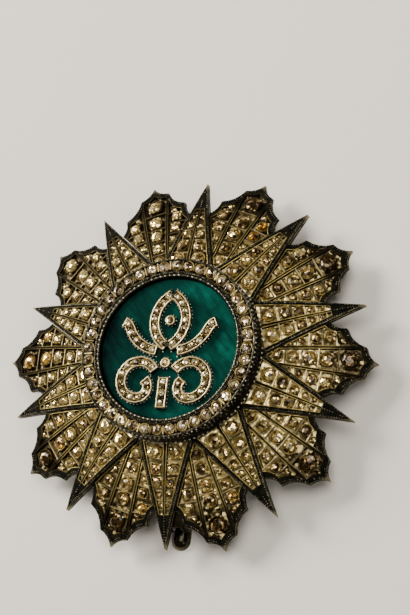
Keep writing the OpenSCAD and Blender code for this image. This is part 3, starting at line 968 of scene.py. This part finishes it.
class StarFinish(bpy.types.PropertyGroup):
    dark_silver: colour("Dark Silver", "Oxidised silver of walls, ribs and tips", (0.005, 0.006, 0.005))
    worn_silver: colour("Worn Silver", "Silver where it is rubbed", (0.045, 0.038, 0.022))
    # Rubbed edges; on the grains of the milling and at the rays' tips it is also painted glint and reflection
    edge_silver: colour("Edge Silver", "Silver on rubbed edges", (0.30, 0.27, 0.18))
    # Painted glints of the beads that catch the light
    glint_silver: colour("Bright Silver", "Beads and prongs that catch the light", (0.85, 0.80, 0.66))
    plate_dark: colour("Dark Plate", "Oxidised silver of the back plate", (0.008, 0.009, 0.008))
    # Rubbed patches of the back plate, also a painted golden sheen on the catch
    plate_wear_and_sheen: colour("Worn Plate", "Back plate where it is rubbed", (0.24, 0.20, 0.12))
    pin_dark: colour("Dark Pin", "Metal of the pin", (0.42, 0.41, 0.37))
    pin_worn: colour("Worn Pin", "Pin where it is rubbed", (0.58, 0.57, 0.52))
    pale_gilt: colour("Pale Gilt", "Channel floors beside the medallion", (1.0, 0.82, 0.38))
    floor_gilt: colour("Floor Gilt", "Channel floors further out", (0.21, 0.155, 0.050))
    # Dark gilding: darker patches, floors further out, and painted shade towards the upper left
    dark_gilt: colour("Old Gilt", "Gilding that has darkened", (0.028, 0.018, 0.006))
    line_gilt: colour("Line Gilt", "Lines along the channels", (0.44, 0.345, 0.115))
    bar_gilt: colour("Bar Gilt", "Crossbars and wires of the ornament", (1.0, 0.84, 0.45))
    # The stones' facet colours, from pale to deep, are painted glints and reflections
    stone_pale: colour("Pale Stone", "Lightest facets of the rays' stones", (1.0, 0.80, 0.32))
    stone_mid: colour("Champagne Stone", "Middle tone of the rays' stones", (0.50, 0.31, 0.09))
    ring_pale: colour("Pale Ring Stone", "Lightest facets of the ring's stones", (1.0, 0.86, 0.58))
    ring_mid: colour("Ring Stone", "Middle tone of the ring's stones", (0.30, 0.19, 0.095))
    ornament_pale: colour("Pale Small Stone", "Lightest facets on the ornament", (1.0, 0.87, 0.56))
    ornament_mid: colour("Small Stone", "Middle tone of the ornament's stones", (0.34, 0.225, 0.10))
    stone_deep: colour("Deep Stone", "Darkest facets of all stones", (0.022, 0.012, 0.004))
    amber: colour("Amber", "Stones with an orange foil", (1.0, 0.68, 0.06))
    enamel: colour("Enamel", "Green of the enamel", (0.0, 0.036, 0.027))
    enamel_deep: colour("Deep Enamel", "Enamel in the cut lines", (0.0, 0.006, 0.007))
    enamel_light: colour("Light Enamel", "Enamel on the ridges", (0.0, 0.125, 0.092))
    floor: colour("Floor", "The stage's floor", (0.80, 0.78, 0.74))
    lamp: colour("Lamps", "Light of the three lamps", (1.0, 0.94, 0.84))
    line_turn: FloatProperty(name="Line Turn", description="Heading of the enamel's lines in degrees",
                             default=130.0)
    line_scale: FloatProperty(name="Line Scale", description="How close the enamel's lines lie",
                              default=640.0)


def settings(context):
    return context.scene.star_sizes, context.scene.star_finish


class StarOperator:
    bl_options = {"REGISTER", "UNDO"}


class STAR_OT_rays(StarOperator, bpy.types.Operator):
    """Softens the edges of the spikes and petals and gives them their silver"""
    bl_idname = "star.rays"
    bl_label = "Spikes and Petals"

    def execute(self, context):
        sizes, finish = settings(context)
        edge = dark_silver("rubbed_edge", finish.worn_silver, finish.edge_silver, 0.8, 900.0)
        for kind, (drop, tip, pale) in RAYS.items():
            body = ray_silver(kind + "_silver", finish, drop, tip * MM, pale * MM)
            for i in range(1, RAY_N + 1):
                softened(f"{kind}_{i}", sizes.edge, body, edge, kind + "_silver", f"{kind}_shape_{i}")
        return {"FINISHED"}


class STAR_OT_lines(StarOperator, bpy.types.Operator):
    """Draws the gilt lines along the edges of the channels"""
    bl_idname = "star.lines"
    bl_label = "Gilt Lines"

    def execute(self, context):
        sizes, finish = settings(context)
        made = gilt_silver("line_gilt", finish.line_gilt, finish.dark_gilt, 600.0, (0.033, 0.0385))
        for kind, channels, turn in (("spike", [spike_channel], spike_turn),
                                     ("petal", [middle_channel, side_channel], petal_turn)):
            paths = []
            for outline in (channel(-LINE_OUT[kind]) for channel in channels):
                both = [outline] if abs(sum(outline).imag) < 1e-6 else [outline, flip(outline)]
                for points in (stepped(one, LINE_STEP, closed=True) for one in both):
                    paths += [[raised(p * polar(1, turn(i)), RAYS[kind][0] + LINE_SINK) for p in points]
                              for i in range(RAY_N)]
            wires(kind + "_lines", paths, sizes.line, kind + "_silver", made, closed=True)
        return {"FINISHED"}


class STAR_OT_bars(StarOperator, bpy.types.Operator):
    """Sets the bright crossbars between the stones"""
    bl_idname = "star.bars"
    bl_label = "Crossbars"

    def execute(self, context):
        sizes, finish = settings(context)
        places = [floor_seat(p, h, drop, (run + BAR_SPARE, sizes.bar / MM, CHANNEL_D - BAR_SINK))
                  for p, h, run, drop in ray_bars()]
        scatter("crossbars", bar_model(), places, "petal_silver",
                gilt_silver("bar_gilt", finish.bar_gilt, finish.dark_gilt, 500.0, toned=True))
        return {"FINISHED"}


class STAR_OT_ray_stones(StarOperator, bpy.types.Operator):
    """Sets the cut stones of the rays and the collets round them"""
    bl_idname = "star.ray_stones"
    bl_label = "Stones of the Rays"

    def execute(self, context):
        sizes, finish = settings(context)
        made = cut_stone("ray_stone", finish, finish.stone_pale, finish.stone_mid, 1150.0)
        rng = random.Random(sizes.seed)
        stones = list(ray_stones())
        for kind in ("spike", "petal", "petal_side"):
            own = [s for s in stones if s[0] == kind]
            places = [tilted(floor_seat(p, rng.uniform(0, pi), drop,
                                        (d * rng.uniform(0.9, 1.04), d * rng.uniform(0.9, 1.04),
                                         stone_h(d)), GAP), rng)
                      for _, p, d, drop, _ in own]
            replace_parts(scatter(kind + "_stones_cut", cut_model(), places, "ray_stone", made, sizes.seed,
                                stone_tones(own), [s[4] for s in own]), kind + "_stones")
        places = []
        for _, p, d, drop, _ in stones:
            wide = (d + 2 * sizes.collet / MM) / COLLET_FOOT
            places.append(floor_seat(p, 0.0, drop, (wide, wide, SETTING_SHARE * stone_h(d) + GAP)))
        scatter("ray_collets", collet_model(), places, "petal_silver",
                gilt_silver("collet_silver", shade(finish.floor_gilt, 1.2), finish.dark_gilt, 900.0,
                            (0.033, 0.038)))
        scatter("ray_prongs", prong_model(), list(prong_places(stones, sizes.prong / MM)), "petal_silver",
                grain_silver("prong_gilt", finish.dark_gilt, finish.bar_gilt, 0.4), sizes.seed + 5)
        return {"FINISHED"}


class STAR_OT_milling(StarOperator, bpy.types.Operator):
    """Beads the edges of the spikes and the borders of the petals"""
    bl_idname = "star.milling"
    bl_label = "Milled Edges"

    def execute(self, context):
        sizes, finish = settings(context)

        def grains(way, drop, *paths):
            return [dome_seat(p * way, h, -drop, (sizes.grain / MM,) * 3)
                    for path in paths for p, h in spaced(path, sizes.pitch / MM)]
        point = STAR_R - POINT_L
        wall, edge = ([complex(x, spike_hw(x, SPIKE_MILLING)) for x in ends]
                      for ends in ((MILLING_FROM, point), (point, EDGE_TO)))
        middle = [complex(x) for x in MIDDLE_BEADS]
        border = petal_border(PETAL_MILLING)
        places, tips = [], []
        for i in range(RAY_N):
            places += grains(polar(1, spike_turn(i)), 0.0, wall, flip(wall))
            tips += grains(polar(1, spike_turn(i)), 0.0, edge, flip(edge), middle)
            places += grains(polar(1, petal_turn(i)), PETAL_DROP, border, [p.conjugate() for p in border])
        for name, seats, metal, share, seed in (("milled_edges", places, "milled_silver", 0.35, 1),
                                                ("tip_beading", tips, "tip_silver", 0.5, sizes.seed + 3)):
            scatter(name, grain_model(), seats, "spike_silver",
                    grain_silver(metal, finish.dark_silver, finish.edge_silver, share), seed)
        return {"FINISHED"}


def set_stones(kind, seats, stone, floor_z, made, draw, tone, rim, rim_h, slot, sizes):
    """Sets cut stones of one width and height on the medallion, each in its collet."""
    rng = random.Random(sizes.seed + draw)
    places = [tilted(flat_seat(p, rng.uniform(0, pi), floor_z + GAP, (stone[0], *stone)), rng) for p in seats]
    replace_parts(scatter(kind + "_stones_cut", cut_model(), places, kind + "_stone", made,
                        sizes.seed + draw, [tone] * len(seats)), kind + "_stones")
    wide = (stone[0] + 2 * sizes.collet / MM) / COLLET_FOOT
    scatter(kind + "_collets", collet_model(),
            [flat_seat(p, 0.0, floor_z, (wide, wide, rim_h)) for p in seats], slot, rim)


class STAR_OT_medallion(StarOperator, bpy.types.Operator):
    """Finishes the case, its beaded rims and the collets of its ring of stones"""
    bl_idname = "star.medallion"
    bl_label = "Medallion"

    def execute(self, context):
        sizes, finish = settings(context)
        materials = bpy.data.materials
        body = dark_silver("case_silver", finish.dark_silver, finish.worn_silver, 0.3, rough=(0.75, 0.6))
        softened("medallion_case", sizes.edge, body, materials["rubbed_edge"], "case_silver")
        bright = grain_silver("bead_silver", finish.worn_silver, finish.glint_silver, 0.8, 0.5)
        for name, metal, rows in (("case_milling", materials["milled_silver"], CASE_MILLING),
                                  ("case_beading", bright, CASE_BEADING)):
            places = []
            for r, z, size, pitch in rows:
                n = round(2 * pi * r / pitch)
                places += [flat_seat(polar(r, 360 * k / n), 0.0, z, (size,) * 3) for k in range(n)]
            scatter(name, grain_model(), places, "case_silver", metal, sizes.seed + 6)
        step, floor_z = 360 / RING_STONE_N, RIM_Z - CHANNEL_D
        set_stones("ring", [polar(RING_STONE_R, k * step) for k in range(RING_STONE_N)],
                   (RING_STONE_D, CHANNEL_D + RING_PROUD), floor_z,
                   cut_stone("ring_stone", finish, finish.ring_pale, finish.ring_mid, 1000.0), 1, 0.22,
                   gilt_silver("ring_collet_silver", shade(finish.floor_gilt, 1.2), finish.worn_silver,
                               900.0), RING_COLLET_H, "case_silver", sizes)
        bars = [flat_seat(polar(RING_STONE_R + RING_BAR_OUT, turn), radians(turn), floor_z, RING_BAR)
                for turn in ((k + 0.5) * step for k in range(RING_STONE_N))]
        scatter("ring_bars", bar_model(), bars, "case_silver", materials["bar_gilt"], sizes.seed + 4)
        return {"FINISHED"}


class STAR_OT_enamel(StarOperator, bpy.types.Operator):
    """Gives the enamel its green over engine-turned lines"""
    bl_idname = "star.enamel"
    bl_label = "Enamel"

    def execute(self, context):
        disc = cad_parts["enamel_disc"]
        disc.data.materials.clear()
        disc.data.materials.append(guilloche_enamel("green_enamel", context.scene.star_finish))
        return {"FINISHED"}


class STAR_OT_ornament(StarOperator, bpy.types.Operator):
    """Finishes the ornament's ribbons with wires, beading and stones"""
    bl_idname = "star.ornament"
    bl_label = "Ornament"

    def execute(self, context):
        sizes, finish = settings(context)
        materials = bpy.data.materials
        body = dark_silver("ornament_silver", finish.dark_silver, finish.edge_silver, 0.5)
        softened("ornament", sizes.edge * 0.7, body, body, "ornament_silver")
        top, beads, paths = RIBBON_Z + RIBBON_H, [], []
        wire_off, bead_off = RIBBON_W / 2 - WIRE_IN, RIBBON_W / 2 + BEAD_OUT

        def wire(points, own):
            for stretch in clear_runs(points, own, RIBBON_W / 2 - RIBBON_EDGE):
                paths.append([above(p, top) * MM for p in stretch])

        def bead(points, own):
            for p, h in spaced(points, 1.5 * sizes.pitch / MM):
                if not covered(p, own, RIBBON_W / 2 - BEAD_OUT):
                    beads.append(flat_seat(p, h, top - BEAD_SINK, (sizes.grain / MM,) * 3))

        for own, line in enumerate(RIBBONS):
            rims = [beside(line, side * wire_off, WIRE_IN) for side in (-1, 1)]
            for side, rim in zip((-1, 1), rims):
                wire(stepped(rim, WIRE_STEP), own)
                bead(beside(line, side * bead_off, -BEAD_OUT), own)
            for i in (0, -1):
                wire(stepped([rim[i] for rim in rims], WIRE_STEP), own)
        for k, middle in enumerate(BUTTONS):
            for trim, off in ((wire, wire_off), (bead, bead_off)):
                trim([middle + polar(off, a) for a in range(0, 361, 15)], ("button", k))
        wires("ornament_wires", paths, sizes.line * 1.25, "ornament_silver",
              gilt_silver("wire_gilt", finish.bar_gilt, finish.dark_gilt, 500.0))
        scatter("ornament_beading", grain_model(), beads, "ornament_silver", materials["bead_silver"],
                sizes.seed + 8)
        floor_z = top - RIBBON_D
        set_stones("ornament", [p for line in RIBBONS for p in ribbon_places(line)] + BUTTONS,
                   (RIBBON_STONE_D, RIBBON_D + RIBBON_PROUD), floor_z,
                   cut_stone("ornament_stone", finish, finish.ornament_pale, finish.ornament_mid, 1250.0),
                   2, 0.5, materials["collet_silver"], RIBBON_COLLET_H, "ornament_silver", sizes)
        scatter("ornament_prongs", prong_model(), list(ribbon_prongs(floor_z)), "ornament_silver",
                materials["prong_gilt"], sizes.seed + 9)
        return {"FINISHED"}


class STAR_OT_back(StarOperator, bpy.types.Operator):
    """Finishes the back plate, the hinge, the catch and the pin"""
    bl_idname = "star.back"
    bl_label = "Back and Pin"

    def execute(self, context):
        sizes, finish = settings(context)
        # Back plate: its lighter patches are rubbing and a painted golden sheen
        plate = dark_silver("back_silver", finish.plate_dark, finish.plate_wear_and_sheen, 0.5, 160.0, (0.26, 0.16))
        softened("back_plate", sizes.plate_edge, plate, bpy.data.materials["rubbed_edge"], "back_silver")
        pin = dark_silver("pin_metal", finish.pin_dark, finish.pin_worn, 0.8, 500.0)
        softened("brooch_pin", sizes.pin_edge, pin, pin, "pin_metal")
        return {"FINISHED"}


def view_axes():
    """The camera's right, its up and the way back from the star to it."""
    back = VIEW_DIR.normalized()
    right = (-back).cross(Vector((0, 1, 0))).normalized()
    up = right.cross(-back)
    turned = cos(VIEW_ROLL) * right + sin(VIEW_ROLL) * up
    return turned, back.cross(turned), back


class STAR_OT_stage(StarOperator, bpy.types.Operator):
    """Lays the pale floor, hangs the soft lights and sets the camera"""
    bl_idname = "star.stage"
    bl_label = "Stage"

    def execute(self, context):
        finish = context.scene.star_finish
        calm()
        bpy.ops.mesh.primitive_plane_add(size=4.0, location=(0, 0, 0))
        floor = context.object
        floor.name = "floor"
        made, tree, place = material("floor_paper")
        floor.data.materials.append(feed(made, rgba(finish.floor), 0.85, bump(
            tree, noise(tree, place, 600.0, 4.0), 0.0001, 0.2), metal=0.0))

        right, up, back = view_axes()
        target = Vector((0, 0, TIP_LIFT * MM))
        data = bpy.data.cameras.new("camera")
        data.lens = FOCAL_PX / PICTURE[1] * data.sensor_width
        data.shift_x = (PICTURE[0] / 2 - MIDDLE_PX[0]) / PICTURE[1]
        data.shift_y = (MIDDLE_PX[1] - PICTURE[1] / 2) / PICTURE[1]
        data.clip_start, data.clip_end = 0.01, 20
        camera = added("camera", data)
        turn = Matrix((right, up, back)).transposed().to_4x4()
        camera.matrix_world = Matrix.Translation(target + back * VIEW_FAR) @ turn
        context.scene.camera = camera

        level_right, level_up = (Vector((axis.x, axis.y, 0)).normalized() for axis in (right, up))
        for name, (across, along, lift, size, power) in LIGHTS.items():
            place = level_right * across + level_up * along + Vector((0, 0, lift))
            bpy.ops.object.light_add(type="AREA", location=place)
            lamp = context.object
            lamp.name, lamp.data.size, lamp.data.energy, lamp.data.color = name, size, power, finish.lamp
            lamp.rotation_euler = (target - place).to_track_quat("-Z", "Y").to_euler()

        world = bpy.data.worlds.new("studio")
        context.scene.world = world
        world.use_nodes = True
        tree = world.node_tree
        height = put(tree, "SeparateXYZ", {0: put(tree, "TexCoord").outputs["Generated"]}).outputs["Z"]
        join(tree, tree.nodes["Background"], {
            "Color": ramp(tree, height, [(0.0, SKY_LOW), (1.0, SKY_HIGH)]), "Strength": SKY_STRENGTH})
        return {"FINISHED"}


class STAR_PT_panel(bpy.types.Panel):
    """The star's operators and its sizes"""
    bl_idname = "STAR_PT_panel"
    bl_label = "Breast Star"
    bl_space_type = "VIEW_3D"
    bl_region_type = "UI"
    bl_category = "Breast Star"

    def draw(self, context):
        for operator in OPERATORS:
            self.layout.operator(operator.bl_idname)
        for group_of in settings(context):
            box = self.layout.box()
            for key in group_of.bl_rna.properties.keys():
                if key not in {"rna_type", "name"}:
                    box.prop(group_of, key)


OPERATORS = (STAR_OT_rays, STAR_OT_lines, STAR_OT_bars, STAR_OT_ray_stones, STAR_OT_milling,
             STAR_OT_medallion, STAR_OT_enamel, STAR_OT_ornament, STAR_OT_back, STAR_OT_stage)
CLASSES = (StarSizes, StarFinish, *OPERATORS, STAR_PT_panel)


def register():
    for item in CLASSES:
        bpy.utils.register_class(item)
    bpy.types.Scene.star_sizes = PointerProperty(type=StarSizes)
    bpy.types.Scene.star_finish = PointerProperty(type=StarFinish)


def unregister():
    del bpy.types.Scene.star_finish
    del bpy.types.Scene.star_sizes
    for item in reversed(CLASSES):
        bpy.utils.unregister_class(item)


def main():
    register()
    for operator in OPERATORS:
        family, name = operator.bl_idname.split(".")
        getattr(getattr(bpy.ops, family), name)()


if __name__ == "__main__":
    main()
